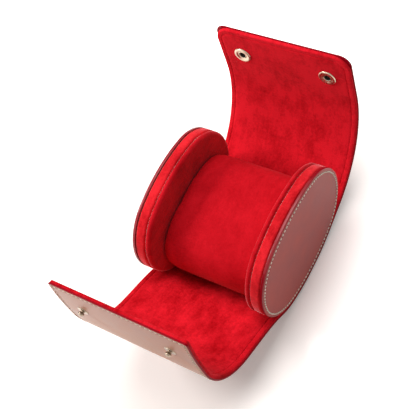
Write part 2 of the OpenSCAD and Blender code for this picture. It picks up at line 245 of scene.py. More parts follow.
def suedeLook(name, coords, sheen, light=1.0, contrast=1.0, lit="suedeLit", paintedLift=0.0):
    # patches, strokes and tufts of nap between a deep and a lit red, with fuzz in front; both reds are scaled
    # by the light factor, painted light that makes the same suede brighter on some parts
    look = Look(name, coords)
    patches = look.noise(suede["patches"], 3.0, 0.6)
    strokes = look.noise(suede["strokes"], 3.0, 0.65, look.stretched(suede["strokeStretch"]))
    tufts = look.noise(suede["tufts"], 3.0, 0.7)
    fuzz = look.noise(suede["fuzz"], 2.0, 0.6)
    tone = look.ramp(patches, 0.34, 0.66, 0.5 * (1 - contrast), 0.5)
    tone = look.sum(tone, look.ramp(strokes, 0.36, 0.64), suede["strokeWeight"] * contrast)
    tone = look.sum(tone, look.ramp(tufts, 0.34, 0.66), suede["tuftWeight"] * contrast)
    if paintedLift:
        # painted light: the suede made lighter along the wrap towards the rear flap's end
        parts = look.add("ShaderNodeSeparateXYZ")
        look.links.new(look.vector, parts.inputs[0])
        lean = look.ramp(parts.outputs["Y"], suede["paintedLiftFrom"], suede["paintedLiftTo"])
        tone = look.sum(tone, lean, paintedLift)
    # painted light: the part's light factor scales both reds
    litColour = tuple(min(1.0, c * light) for c in looks[lit])
    deepColour = tuple(c * light for c in looks["suedeDeep"])
    base = look.mix(tone, deepColour, litColour)
    look.colour(look.mix(look.ramp(fuzz, 0.42, 0.75, 0.0, suede["speck"]), base, looks["suedeDeep"]))
    look.bump(look.sum(look.sum(strokes, tufts, 0.9), fuzz, 0.45), suede["depth"], 0.6)
    look.set(Roughness=0.95, Specular_IOR_Level=0.04, Sheen_Weight=sheen, Sheen_Roughness=0.35,
             Sheen_Tint=looks["suedeSheen"])
    return look.mat


def leatherLook(name, coords, rough, shine, coat, light="hideLight", dark="hide", sheen=0.0):
    # clouds of a dark and a light tone, with a fine grain and pores
    look = Look(name, coords)
    clouds = look.noise(leather["clouds"], 3.0, 0.5)
    grain = look.add("ShaderNodeTexVoronoi", Scale=leather["grain"])
    look.links.new(look.vector, grain.inputs["Vector"])
    pores = look.noise(leather["pores"], 2.0, 0.6)
    look.colour(look.mix(look.ramp(clouds, 0.3, 0.7), looks[dark], looks[light]))
    look.roughness(look.ramp(look.sum(clouds, pores, 0.4), 0.4, 1.0, rough - 0.05, rough + 0.10))
    look.bump(look.sum(grain.outputs["Distance"], pores, 0.6), leather["depth"], 0.35)
    look.set(Specular_IOR_Level=shine, Coat_Weight=coat, Coat_Roughness=leather["coatRough"], Coat_IOR=1.5,
             Sheen_Weight=sheen, Sheen_Roughness=leather["sheenRough"], Sheen_Tint=looks["hideSheen"])
    return look.mat


def threadLook(name, light, dark):
    # twisted plies, as light and dark flecks
    look = Look(name, "Object")
    ply = look.noise(2200, 2.0, 0.5)
    look.colour(look.mix(look.ramp(ply, 0.35, 0.65), looks[dark], looks[light]))
    look.bump(ply, 0.1 * mm, 0.6)
    look.set(Roughness=0.62, Sheen_Weight=0.25, Sheen_Roughness=0.5)
    return look.mat


def metalLook(name, light, dark, rough):
    # plated metal with a light haze
    look = Look(name, "Object")
    haze = look.noise(900, 3.0, 0.6)
    look.colour(look.mix(look.ramp(haze, 0.45, 0.80, 0.0, 0.22), looks[light], looks[dark]))
    look.roughness(look.ramp(haze, 0.3, 0.7, rough - 0.05, rough + 0.08))
    look.bump(haze, 0.02 * mm, 0.3)
    look.set(Metallic=1.0)
    return look.mat


def plainLook(name, light, dark, scale, rough):
    # dull stuff with cells of a given noise scale
    look = Look(name, "Object")
    cells = look.noise(scale, 4.0, 0.6)
    look.colour(look.mix(look.ramp(cells, 0.35, 0.65), looks[dark], looks[light]))
    look.bump(cells, 0.3 * mm, 0.6)
    look.set(Roughness=rough)
    return look.mat


# each part's suede takes its own light factor, and the bands a brighter red: painted light, the same suede
# lit and shaded differently on each part
suedeSheet = suedeLook("suede_on_wrap", "UV", sheen=0.12, light=1.12, contrast=1.35, paintedLift=0.32)
suedeBand = suedeLook("suede_on_bands", "Object", sheen=0.6, light=1.14, lit="bandPaintedLight")
suedeBody = suedeLook("suede_on_caps", "Object", sheen=0.7, light=1.05)
suedePillow = suedeLook("suede_on_pillow", "Object", sheen=0.05, contrast=0.6)
leatherSheet = leatherLook("leather_on_wrap", "UV", rough=0.36, shine=0.22, coat=0.1, sheen=0.32)
leatherEdge = leatherLook("leather_edge_paint", "UV", 0.36, 0.04, 0.0, light="rim", dark="edge")
leatherCap = leatherLook("leather_on_caps", "Object", 0.40, 0.20, 0.02, light="capHideLight", dark="capHide")
leatherRim = leatherLook("leather_on_rims", "Object", 0.35, 0.2, 0.35, light="rim", dark="edge")
holeShadeLook = plainLook("needle_hole_shade", "needleHoleShade", "edge", 900, 0.8)
shadeCupLook = plainLook("socket_painted_shade", "cup", "cupDark", 900, 0.6)
creamThread = threadLook("cream_thread", "threadLight", "threadDark")
flapThread = threadLook("flap_thread", "flapThread", "flapThreadDark")
redThread = threadLook("red_thread", "redThread", "suedeDeep")
goldMetal = metalLook("pale_gold", "gold", "goldDark", 0.30)
studMetal = metalLook("worn_gold", "worn", "wornDark", 0.22)
cardLook = plainLook("pressed_card", "card", "cardDark", 700, 0.85)
foamLook = plainLook("open_foam", "foam", "foamDark", 1600, 0.9)
print("materials made")

# The wrap is one bent section carried across its width; a place on it is (x, s), with s along the section
wrap = {
    "width": 100 * mm,
    "lining": 2.2 * mm,
    "leather": 1.2 * mm,
    "inset": 0.4 * mm,  # leather left bare round the lining
    "film": 0.02 * mm,  # between lining and leather, and between leather and thread
    "floorZ": 3.0 * mm,  # inner face above the table, at the middle
    "frontLeave": 38.0,  # degrees, where the front half leaves the caps
    "frontRun": [(24, -14), (22, 0), (54, 66), (46, 8)],  # mm and degrees of turn, past the caps
    "rearRun": [(20, 0), (82, 70), (38.8, 0)],
    "frontFolds": (8, 16, 24, 34, 46),  # mm past the caps
    "rearFolds": (7, 15, 29, 43, 91, 102),
    "frontReach": (5, 6),  # mm that a bent stretch runs past its first and last fold
    "rearLowReach": (5, 7),
    "rearTopReach": (5.5, 5.5),
    "frontCorner": 2 * mm,
    "rearCorner": 8 * mm,
    "rearTrim": 4 * mm,  # how much rounder the lining is cut at the rear corners
    "borderRound": 0.95 * mm,  # rounded border of the lining
    "seamIn": 3.7 * mm,  # sewn line, from the lining's edge
    "seamDepth": 0.50 * mm,
    "seamWidth": 0.42 * mm,
    "dimple": 0.28,  # share of the depth that comes and goes with the stitches
    "hollowDepth": 0.12 * mm,  # soft hollow on both sides of the sewn line
    "hollowWidth": 1.4 * mm,
    "sunk": 0.05 * mm,  # the whole face lowered, to leave room for its unevenness
    "wavesFrom": 5 * mm,  # unevenness starts this far in
    "wavesOver": 9 * mm,
    "waveHeight": 0.022 * mm,
    "edgeRound": 0.42 * mm,  # burnished edge of the leather
    "innerRound": 0.8,  # the same on its inner face, as a share
    "paintWidth": 0.6 * mm,  # edge paint on the outer face
    "stitchIn": 2.4 * mm,  # thread on the leather, from its edge
    "stitchPitch": 3.3 * mm,
    "pressDepth": 0.14 * mm,  # groove under the thread
    "pressWidth": 0.45 * mm,
    "row": 0.85 * mm,
    "endRow": 0.08 * mm,  # first row of each panel, so that neighbours shade alike
    "rowGap": 0.05 * mm,  # closest that two rows or two columns may lie
    "columnGap": 0.12 * mm,
}
snap = {
    "x": 32 * mm,
    "studFromEdge": 22.5 * mm,
    "socketFromEdge": 22.5 * mm,
    "socketSunk": 0.1 * mm,
    "well": 2.12 * mm,  # how deep the lining is pressed down inside a socket
    "wellRadius": 3.3 * mm,
    "wellWall": 0.35 * mm,
    "springRun": 1.9 * mm,  # half length of a spring wire
    "springOut": 2.16 * mm,  # from the socket's middle
    "springBow": 0.2 * mm,
    "springWire": 0.15 * mm,
    "sides": 48,
}
cap = {
    "length": 107 * mm,
    "height": 77 * mm,
    "endRadius": 36 * mm,
    "glue": 0.1 * mm,
    "inner": 36.5 * mm,  # X of the inner face
    "outer": 14.0 * mm,  # outer face, from the inner one
    "crown": 0.35 * mm,  # swell of the cushion's middle
    "faceCrown": 0.15 * mm,  # swell of the outer face
    "stitchIn": 2.5 * mm,
    "pitch": 2.75 * mm,
    "sewnShare": 0.985,  # length of the sewn line, as a share of the outline
    "holeDepth": 0.28 * mm,
    "rimSteps": 14,  # steps of the cover's profile that take the rim's colour
    "seamAt": 3.84 * mm,  # joint of pad and band, from the inner face
    "seamIn": 1.25 * mm,  # depth of its stitches
    "seamPitch": 3.0 * mm,
    "puckerReach": 1.0 * mm,  # how far from the joint the suede puckers
    "puckerWithin": 1.9 * mm,
    "pucker": (0.22, 0.10, 0.1),  # mm: drawn in at each stitch, drifting slowly, and all round
    "columns": 580,
}
endY = cap["length"] / 2 - cap["endRadius"]
halfHeight = cap["height"] / 2
rise = halfHeight - cap["endRadius"]
sideDrop = (endY**2 - rise**2) / (2 * rise)  # centre of a long arc, past the oval's middle
sideRadius = halfHeight + sideDrop
joinAngle = math.atan2(endY, sideDrop)
capZ = wrap["floorZ"] + cap["glue"] + halfHeight

baseHalf = (sideRadius + cap["glue"]) * joinAngle
hugTurn = math.radians(wrap["frontLeave"]) - joinAngle
hugLength = (cap["endRadius"] + cap["glue"]) * hugTurn
straight = 1e-9  # curvature below which a stretch counts as straight


def runTable(stretches):
    # start distance, point, heading and curvature of each stretch, an arc of curvature turn over length
    table, s, y, z, a = [], 0.0, 0.0, wrap["floorZ"], 0.0
    for length, turn in stretches:
        k = turn / length
        table.append((s, y, z, a, k))
        if abs(k) < straight:
            y = y + length * math.cos(a)
            z = z + length * math.sin(a)
        else:
            y = y + (math.sin(a + turn) - math.sin(a)) / k
            z = z + (math.cos(a) - math.cos(a + turn)) / k
        s = s + length
        a = a + turn
    return np.array(table), s


def inMetres(run):
    # millimetres and degrees made metres and radians
    return [(length * mm, math.radians(turn)) for length, turn in run]


onCaps = [(baseHalf, joinAngle), (hugLength, hugTurn)]
frontTable, frontLen = runTable(onCaps + inMetres(wrap["frontRun"]))
rearTable, rearLen = runTable(onCaps[:1] + inMetres(wrap["rearRun"]))
studS = -(frontLen - snap["studFromEdge"])
socketS = rearLen - snap["socketFromEdge"]
frontCuts = [baseHalf + hugLength + c * mm for c in wrap["frontFolds"]]
rearCuts = [baseHalf + c * mm for c in wrap["rearFolds"]]


def walk(table, s):
    # point and heading at distances s: along an arc of the stretch's curvature
    i = np.clip(np.searchsorted(table[:, 0], s, side="right") - 1, 0, len(table) - 1)
    s0, y0, z0, a0, k = np.moveaxis(table[i], -1, 0)
    t = s - s0
    a = a0 + k * t
    flat = np.abs(k) < straight
    safe = np.where(flat, 1.0, k)
    y = np.where(flat, y0 + t * np.cos(a0), y0 + (np.sin(a) - np.sin(a0)) / safe)
    z = np.where(flat, z0 + t * np.sin(a0), z0 + (np.cos(a0) - np.cos(a)) / safe)
    return y, z, a


def wrapAt(s):
    # s is negative on the front half; the heading is that of growing s
    yf, zf, af = walk(frontTable, np.abs(s))
    yr, zr, ar = walk(rearTable, np.abs(s))
    front = s < 0
    return np.where(front, -yf, yr), np.where(front, zf, zr), np.where(front, -af, ar)


def onWrap(x, s, depth):
    # a point at width x, distance s and a depth below the inner face, and never below the table
    y, z, a = wrapAt(s)
    x, y, z = np.broadcast_arrays(x, y + depth * np.sin(a), np.maximum(z - depth * np.cos(a), 0.0))
    return np.stack([x, y, z], axis=-1)


def cornerRadius(front, inset):
    # the lining, cut smaller, is also cut rounder at the rear corners, where the edge of the leather shows
    rear = wrap["rearCorner"] - inset + (wrap["rearTrim"] if inset > 0 else 0)
    return np.where(front, wrap["frontCorner"] - inset, rear)


def halfWidth(s, w, inset):
    # half width at s: full, less what the corner's quarter circle takes off near the flap's end
    front = s < 0
    corner = cornerRadius(front, inset)
    toEnd = np.where(front, frontLen, rearLen) - inset - np.abs(s)
    short = np.clip(corner - toEnd, 0, corner)
    return w - (corner - np.sqrt(np.maximum(corner**2 - short**2, 0)))


def edgeDistance(x, s, w, inset):
    # distance in from the outline, a rectangle with rounded corners at each end
    front = s < 0
    corner = cornerRadius(front, inset)
    end = np.where(front, frontLen, rearLen) - inset
    pastX = np.abs(x) - (w - corner)
    pastS = np.abs(s) - (end - corner)
    outside = np.hypot(np.maximum(pastX, 0), np.maximum(pastS, 0))
    return corner - outside - np.minimum(np.maximum(pastX, pastS), 0)


# Distances in from an edge, close together where it is rounded and sewn
fineCols = np.array([0, 0.10, 0.24, 0.42, 0.66, 0.95, 1.4, 1.95, 2.2, 2.4, 2.6, 2.85, 3.1, 3.3, 3.5, 3.7, 3.9,
                     4.1, 4.35, 4.7, 5.1, 5.5, 6.0, 6.6, 7.3, 8.2]) * mm
fineRows = np.concatenate([fineCols, np.arange(8.6, 10.5, 0.45) * mm])
midCols = np.linspace(-1, 1, 31)[1:-1] * (wrap["width"] / 2 - 9.6 * mm)
wellRows = np.linspace(-4.2, 4.2, 29) * mm  # across each snap socket


def thinned(places, gap):
    # all places in order, without those less than a gap past the one before
    places = np.unique(np.round(np.concatenate(places), 7))
    return places[np.concatenate([[True], np.diff(places) > gap])]


def columnPlaces(w, wells):
    # columns as parts of the half width, close at the edges, and across the sockets where there are wells
    places = [-(w - fineCols), midCols, w - fineCols]
    if wells:
        places += [side * snap["x"] + wellRows for side in (-1, 1)]
    return thinned(places, wrap["columnGap"]) / w


def rowPlaces(s0, s1, wells):
    # even rows, with a very short one at each end of the panel, and close rows at a flap's end
    n = max(2, int(round((s1 - s0) / wrap["row"])))
    rows = [np.linspace(s0, s1, n + 1), [s0 + wrap["endRow"], s1 - wrap["endRow"]]]
    for end in (-frontLen, rearLen):
        if abs(s0 - end) < 1 * mm or abs(s1 - end) < 1 * mm:
            rows.append(s0 + fineRows if end < 0 else s1 - fineRows)
    if wells:
        rows.append(socketS + wellRows)
    return thinned(rows, wrap["rowGap"])


def bell(distance, width):
    # 1 in the middle, falling off as e to the minus square of distance over width
    return np.exp(-((distance / width) ** 2))


def liningHeight(x, s, d):
    # an elliptic drop at the border, a bell-shaped groove dimpled by a cosine at each stitch, and the
    # sum of three slow sines inside it
    t = np.clip(1 - d / wrap["borderRound"], 0, 1)
    border = -wrap["borderRound"] * (1 - np.sqrt(1 - t**2 * 0.98))
    dimple = 1 - wrap["dimple"] + wrap["dimple"] * np.cos(2 * np.pi * s / wrap["stitchPitch"])
    seam = -wrap["seamDepth"] * dimple * bell(d - wrap["seamIn"], wrap["seamWidth"])
    hollow = -wrap["hollowDepth"] * bell(d - wrap["seamIn"], wrap["hollowWidth"])
    inside = smoothStep((d - wrap["wavesFrom"]) / wrap["wavesOver"])
    waves = (np.sin(x * 190 + 2.1 * np.sin(s * 61)) + np.sin(s * 233 + 1.7 * np.sin(x * 83 + 1.0))
             + np.sin((x + s) * 131 + 0.7))
    return border + seam + hollow - wrap["sunk"] + inside * wrap["waveHeight"] * waves


def socketWell(x, s):
    # the lining is pressed down inside each socket, with a smooth-stepped wall
    r = np.hypot(np.abs(x) - snap["x"], s - socketS)
    return snap["well"] * smoothStep((snap["wellRadius"] - r) / snap["wellWall"])


def leatherRound(d):
    # drop of the burnished edge at a distance in from it, an ellipse that meets the face level
    t = np.clip(1 - d / wrap["edgeRound"], 0, 1)
    return wrap["edgeRound"] * (1 - np.sqrt(1 - t**2 * 0.96))


def slabPiece(name, s0, s1, w, topDepth, bottomDepth, material, painted=False):
    # upper and lower surface of the sheet as two grids, joined round the rim
    inset = wrap["width"] / 2 - w
    wells = not painted and s1 > socketS  # only the lining lies under the sockets
    rows = rowPlaces(s0, s1, wells)
    u = columnPlaces(w, wells)
    s = rows[:, None] + 0 * u[None, :]
    x = halfWidth(rows, w, inset)[:, None] * u[None, :]
    top = onWrap(x, s, topDepth(x, s))
    bottom = onWrap(x, s, bottomDepth(x, s))
    nr, nc = len(rows), len(u)
    count = nr * nc
    points = np.concatenate([top.reshape(-1, 3), bottom.reshape(-1, 3)])
    rim = np.concatenate([np.arange(nc), np.arange(1, nr) * nc + nc - 1,
                          (nr - 1) * nc + np.arange(nc - 2, -1, -1), np.arange(nr - 2, 0, -1) * nc])
    after = np.roll(rim, -1)
    faces = np.concatenate([gridQuads(nr, nc), gridQuads(nr, nc, count)[:, ::-1],
                            np.stack([rim, after, after + count, rim + count], axis=-1)])
    uv = np.tile(np.stack([x, s], axis=-1).reshape(-1, 2), (2, 1))
    piece = addPiece(name, points, faces.tolist(), material, uv)
    if painted:
        # edge paint on the rim, the upper face and a narrow border of the lower face
        d = edgeDistance(x, s, w, inset)
        d = (d[:-1, :-1] + d[1:, :-1] + d[:-1, 1:] + d[1:, 1:]).ravel() / 4
        index = np.ones(len(faces), np.int32)
        index[len(d):2 * len(d)] = d < wrap["paintWidth"]
        piece.data.materials.append(leatherEdge)
        piece.data.polygons.foreach_set("material_index", index)
    return piece


def liningPiece(name, s0, s1):
    # padded suede: its shaped face above, flat where it lies on the leather
    inset = wrap["inset"]
    w = wrap["width"] / 2 - inset
    s0, s1 = max(s0, -(frontLen - inset)), min(s1, rearLen - inset)

    def top(x, s):
        return socketWell(x, s) - liningHeight(x, s, edgeDistance(x, s, w, inset))

    def bottom(x, s):
        return wrap["lining"] + 0 * x

    return slabPiece(name, s0, s1, w, top, bottom, suedeSheet)


def leatherPiece(name, s0, s1):
    # leather with burnished edges, and a groove under its thread on the outer face
    w = wrap["width"] / 2
    s0, s1 = max(s0, -frontLen), min(s1, rearLen)

    def top(x, s):
        return wrap["lining"] + wrap["film"] + leatherRound(edgeDistance(x, s, w, 0.0)) * wrap["innerRound"]

    def bottom(x, s):
        d = edgeDistance(x, s, w, 0.0)
        press = wrap["pressDepth"] * bell(d - wrap["stitchIn"], wrap["pressWidth"])
        return wrap["lining"] + wrap["leather"] - leatherRound(d) - press

    return slabPiece(name, s0, s1, w, top, bottom, leatherSheet, painted=True)


# Stitches are short plump loops of thread, one template copied along a row
stitch = {
    "wander": 0.035 * mm,  # unevenness of the sewing
    "blunt": 2.6,  # power that keeps a stitch plump up to its ends
    "dive": 0.35,  # how far its ends sink into their holes, as a share of its height
    "flap": {"length": 2.4 * mm, "width": 0.62 * mm, "height": 0.5 * mm, "slant": 9.0},
    "cap": {"length": 2.05 * mm, "width": 1.1 * mm, "height": 0.9 * mm, "slant": 8.0},
    # a dark stub that paints the shade inside each needle hole
    "hole": {"length": 1.0 * mm, "width": 1.15 * mm, "height": 0.5 * mm, "slant": 0.0},
    "joint": {"length": 1.9 * mm, "width": 0.55 * mm, "height": 0.45 * mm, "slant": 28.0},
}


def stitchTemplate(loop):
    # rings along the stitch, each an ellipse that closes as the root of one less t to a power, and sinks
    # as t to the fourth
    sides, rings = 7, 7
    t = np.linspace(-1, 1, rings)
    swell = np.sqrt(np.clip(1 - np.abs(t) ** stitch["blunt"], 0.03, 1))
    a = np.arange(sides) * 2 * np.pi / sides
    along = np.repeat(t * loop["length"] / 2, sides)
    across = np.outer(swell, np.cos(a)).ravel() * loop["width"] / 2
    up = np.outer(swell, np.sin(a)).ravel() * loop["height"] / 2
    up = up - stitch["dive"] * loop["height"] * np.repeat(t**4, sides)
    faces = gridQuads(rings, sides, 0, True).tolist()
    faces.append(list(range(sides))[::-1])
    faces.append(list(range((rings - 1) * sides, rings * sides)))
    return np.stack([along, across, up], axis=-1), faces


def stitchPiece(name, centres, along, up, material, loop, lean=1):
    # the template set at each centre, turned by its slant about the direction that points up
    template, faces = stitchTemplate(loop)
    across = np.cross(up, along)
    angle = math.radians(loop["slant"] * lean)
    forward = math.cos(angle) * along + math.sin(angle) * across
    sideways = np.cross(up, forward)
    jitter = rng.normal(0, stitch["wander"], centres.shape)
    points = ((centres + jitter)[:, None, :] + template[None, :, 0:1] * forward[:, None, :]
              + template[None, :, 1:2] * sideways[:, None, :] + template[None, :, 2:3] * up[:, None, :])
    n = len(template)
    every = [[v + k * n for v in f] for k in range(len(centres)) for f in faces]
    return addPiece(name, points.reshape(-1, 3), every, material, sharp=80)


def alongPath(path, pitch):
    # even places along a polyline, half a pitch in from its ends, with the direction there
    step = np.diff(path, axis=0)
    length = np.concatenate([[0], np.cumsum(np.hypot(*step.T))])
    n = max(1, int(length[-1] / pitch))
    at = (np.arange(n) + 0.5) * length[-1] / n
    p = np.stack([np.interp(at, length, path[:, k]) for k in (0, 1)], axis=-1)
    i = np.clip(np.searchsorted(length, at) - 1, 0, len(step) - 1)
    t = step[i] / np.hypot(*step[i].T)[:, None]
    return p, t


def wrapStitches(name, path):
    # thread on the leather's outer face, along a path of (x, s)
    p, t = alongPath(path, wrap["stitchPitch"])
    depth = wrap["lining"] + wrap["leather"] + wrap["film"]
    centres = onWrap(p[:, 0], p[:, 1], depth)
    _, _, a = wrapAt(p[:, 1])
    zero = np.zeros_like(a)
    down = np.stack([zero, np.sin(a), -np.cos(a)], axis=-1)
    run = np.stack([zero, np.cos(a), np.sin(a)], axis=-1)
    along = t[:, :1] * xAxis + t[:, 1:] * run
    return stitchPiece(name, centres, along, down, flapThread, stitch["flap"])


def sidePath(side, s0, s1):
    # straight along one side of a panel
    x = wrap["width"] / 2 - wrap["stitchIn"]
    return np.array([(side * x, s0), (side * x, s1)])


def endPath(start, end, corner):
    # up one side, round the two quarter circles of the end and back down the other side
    x = wrap["width"] / 2 - wrap["stitchIn"]
    sign = math.copysign(1, end)
    stop = abs(end) - wrap["stitchIn"]
    r = max(corner - wrap["stitchIn"], 0.3 * mm)
    a = np.linspace(0, np.pi / 2, 9)
    left = np.stack([-(x - r) - r * np.cos(a), stop - r + r * np.sin(a)], axis=-1)
    right = np.stack([(x - r) + r * np.sin(a), stop - r + r * np.cos(a)], axis=-1)
    path = np.concatenate([[(-x, abs(start))], left, right, [(x, abs(start))]])
    return path * np.array([1, sign])


def bendMarks(cuts, reach):
    # ends of a bent stretch, a little past its first and last fold, with the middles between folds
    middles = [(a + b) / 2 for a, b in zip(cuts, cuts[1:])]
    return [cuts[0] - reach[0] * mm] + middles + [cuts[-1] + reach[1] * mm]


# A panel with a single body rides on it; one between two bodies stays where it is made
frontMarks = bendMarks(frontCuts, wrap["frontReach"])
rearMarks = bendMarks(rearCuts[:4], wrap["rearLowReach"]) + bendMarks(rearCuts[4:], wrap["rearTopReach"])
frontBodies = ["case"] + [f"front_strip_{n}" for n in range(1, 5)] + ["front_flap"]
rearBodies = ["case"] + [f"rear_strip_{n}" for n in range(1, 5)]
frontSteps = list(zip(frontBodies, frontBodies[1:]))
rearSteps = list(zip(rearBodies, rearBodies[1:]))
rearSteps += [("rear_strip_4", None), ("rear_strip_4", "rear_strip_5"), ("rear_strip_5", "rear_flap")]

panels = [("base", -frontMarks[0], rearMarks[0], "case", None)]
for i, (before, after) in enumerate(frontSteps):
    panels.append((f"front_bend_{i + 1}", -frontMarks[i + 1], -frontMarks[i], before, after))
panels.append(("front_end", -frontLen, -frontMarks[-1], "front_flap", None))
for i, (before, after) in enumerate(rearSteps):
    panels.append((f"rear_bend_{i + 1}", rearMarks[i], rearMarks[i + 1], before, after))
panels.append(("rear_end", rearMarks[-1], rearLen, "rear_flap", None))

# The frame's pieces that a panel stands for; a panel not named here stands for the strip of its own number
standsFor = {
    "base": "wrap_base",
    "front_end": "front_flap",
    "front_bend_5": "front_strip_4",
    "rear_end": "rear_flap",
    "rear_bend_5": "rear_strip_4",
    "rear_bend_6": "rear_strip_5",
    "rear_bend_7": "rear_strip_5",
}


def attach(piece, s0, s1, body, other):
    # rides on one body; a piece between two bodies only has its transform baked into its mesh
    if other is None:
        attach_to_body(piece, body)
        return
    near, far = (s1, s0) if s1 <= 0 else (s0, s1)
    points = onWrap(np.zeros(2), np.array([near, far]), np.zeros(2))
    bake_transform(piece)


for label, s0, s1, body, other in panels:
    lining = liningPiece(f"{label}_suede", s0, s1)
    hide = leatherPiece(f"{label}_leather", s0, s1)
    node = standsFor.get(label, label.replace("bend", "strip"))
    attach(lining, s0, s1, body, other)
    attach(hide, s0, s1, body, other)
    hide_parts(f"{node}_lining")
    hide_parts(f"{node}_leather")
    if label.endswith("_end"):
        corner = wrap["frontCorner"] if s0 < 0 else wrap["rearCorner"]
        start, end = (s1, s0) if s0 < 0 else (s0, s1)
        thread = wrapStitches(f"{label}_stitches", endPath(start, end, corner))
        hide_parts("front_flap_thread" if s0 < 0 else "rear_flap_thread")
    else:
        thread = wrapStitches(f"{label}_stitches", sidePath(-1, s0, s1))
        twin = wrapStitches(f"{label}_stitches_right", sidePath(1, s0, s1))
        attach(twin, s0, s1, body, other)
    attach(thread, s0, s1, body, other)
print("wrap made:", len(panels), "panels")

# The end caps are profiles carried round an oval of four arcs
endArc = cap["endRadius"] * (math.pi - 2 * joinAngle)
sideArc = sideRadius * 2 * joinAngle
perimeterMarks = np.cumsum([0, endArc, sideArc, endArc, sideArc])
perimeter = perimeterMarks[-1]
angleMarks = np.array([joinAngle - math.pi / 2, math.pi / 2 - joinAngle, math.pi / 2 + joinAngle,
                       1.5 * math.pi - joinAngle, 1.5 * math.pi + joinAngle])


def ovalAt(s, inset):
    # point and outward direction at distances s round the outline, moved in by an inset
    a = np.interp(s % perimeter, perimeterMarks, angleMarks)
    onSide = np.abs(np.sin(a)) > math.cos(joinAngle)
    cy = np.where(onSide, 0, np.sign(np.cos(a)) * endY)
    cz = np.where(onSide, -np.sign(np.sin(a)) * sideDrop, 0)
    r = np.where(onSide, sideRadius, cap["endRadius"]) - inset
    return cy + r * np.cos(a), cz + r * np.sin(a), a


def ovalRings(profile):
    # one ring of points for each (inset, depth) of the profile, puckered where the joint is sewn
    s = np.arange(cap["columns"]) * perimeter / cap["columns"]
    loops = round(perimeter / cap["seamPitch"])
    wave = 0.5 - 0.5 * np.cos(2 * np.pi * loops * s / perimeter)
    slow = np.sin(2 * np.pi * 7 * s / perimeter) * np.sin(2 * np.pi * 18 * s / perimeter)
    each, drift, allRound = cap["pucker"]
    rings = []
    for inset, depth in profile:
        near = bell(depth - cap["seamAt"], cap["puckerReach"]) if inset < cap["puckerWithin"] else 0.0
        y, z, _ = ovalAt(s, inset + near * (each * wave + drift * slow + allRound) * mm)
        rings.append(np.stack([np.full_like(y, depth), y, z], axis=-1))
    return np.array(rings)


def fanRings(inset, depth, crown):
    # rings that shrink from an outline to the middle, over a crown that rises as one less t squared
    outer = ovalRings([(inset, depth)])[0]
    t = np.linspace(1, 0, 13)[1:-1]
    rings = outer[None] * np.array([0, 1, 1]) * t[:, None, None]
    rings[:, :, 0] = depth + crown * (1 - t[:, None] ** 2)
    return rings, depth + crown


def capPiece(name, side, profile, material, firstFan=None, lastFan=None, closed=False, rim=0):
    # rings of the profile, closed by a fan at either end or joined last to first
    rings = ovalRings(profile)
    tips = []
    lead = 0
    if firstFan is not None:
        fan, tip = fanRings(*profile[0], firstFan)
        rings = np.concatenate([fan[::-1], rings])
        tips.append((tip, 0))
        lead = len(fan)
    if lastFan is not None:
        fan, tip = fanRings(*profile[-1], lastFan)
        rings = np.concatenate([rings, fan])
        tips.append((tip, len(rings) - 1))
    n, c = rings.shape[:2]
    points = rings.reshape(-1, 3)
    faces = gridQuads(n, c, 0, True).tolist()
    if closed:
        faces += loopQuads(n, c).tolist()
    for tip, ring in tips:
        points = np.concatenate([points, [[tip, 0, 0]]])
        faces += fanTriangles(ring, c, len(points) - 1).tolist()
    points = points * np.array([side, 1, 1]) + np.array([side * cap["inner"], 0, capZ])
    piece = addPiece(name, points, faces, material)
    if rim:
        # the first rings, up to the turned edge, take the rim's material
        piece.data.materials.append(leatherRim)
        index = np.zeros(len(faces), np.int32)
        index[:(lead + rim) * c] = 1
        piece.data.polygons.foreach_set("material_index", index)
    return piece


def quarter(insetCentre, depthCentre, r, start, stop, n):
    # arc of a rounded edge, by angle in degrees from the outward direction
    a = np.radians(np.linspace(start, stop, n))
    return [(insetCentre - r * math.cos(t), depthCentre + r * math.sin(t)) for t in a]


def scaled(pairs):
    # millimetres made metres
    return [(inset * mm, depth * mm) for inset, depth in pairs]


# Profiles as (inset from the outline, depth from the inner face) in mm
padProfile = scaled([(9, -0.08), (5.5, -0.04), (3.4, 0.0)] + quarter(2.3, 2.3, 2.3, -88, 0, 10)
                    + [(0.02, 2.6), (0.12, 2.9), (0.36, 3.2), (0.75, 3.5), (1.25, 3.72), (1.8, 3.80)])
bandProfile = scaled([(1.8, 3.84), (1.25, 3.95), (0.75, 4.15), (0.36, 4.45), (0.12, 4.8), (0.02, 5.2),
                      (0.0, 6.0), (0.0, 7.6), (0.0, 9.3), (0.02, 10.0), (0.12, 10.4), (0.34, 10.75),
                      (0.7, 11.05), (1.15, 11.25), (1.7, 11.36), (1.75, 8.0)])
rimProfile = scaled([(1.0, 13.05), (0.98, 12.0), (0.9, 11.62), (0.62, 11.60)]
                    + quarter(0.5, 12.1, 0.5, -60, 0, 5) + [(0.0, 12.6)]
                    + quarter(0.85, 13.15, 0.85, 0, 86, 8)
                    + [(1.35, 14.0), (1.75, 13.99), (2.0, 13.93), (2.25, 13.84), (2.5, 13.80), (2.75, 13.84),
                       (3.0, 13.93), (3.3, 13.99), (3.8, 14.02), (5.5, 14.05), (8.0, 14.08)])


def sewnPlaces(n, inset, x):
    # n even places round the oval, with the directions along and out from it there
    s = (np.arange(n) + 0.5) * perimeter / n
    y, z, a = ovalAt(s, inset)
    zero = np.zeros_like(a)
    centres = np.stack([np.full_like(y, x), y, z + capZ], axis=-1)
    along = np.stack([zero, -np.sin(a), np.cos(a)], axis=-1)
    out = np.stack([zero, np.cos(a), np.sin(a)], axis=-1)
    return centres, along, out


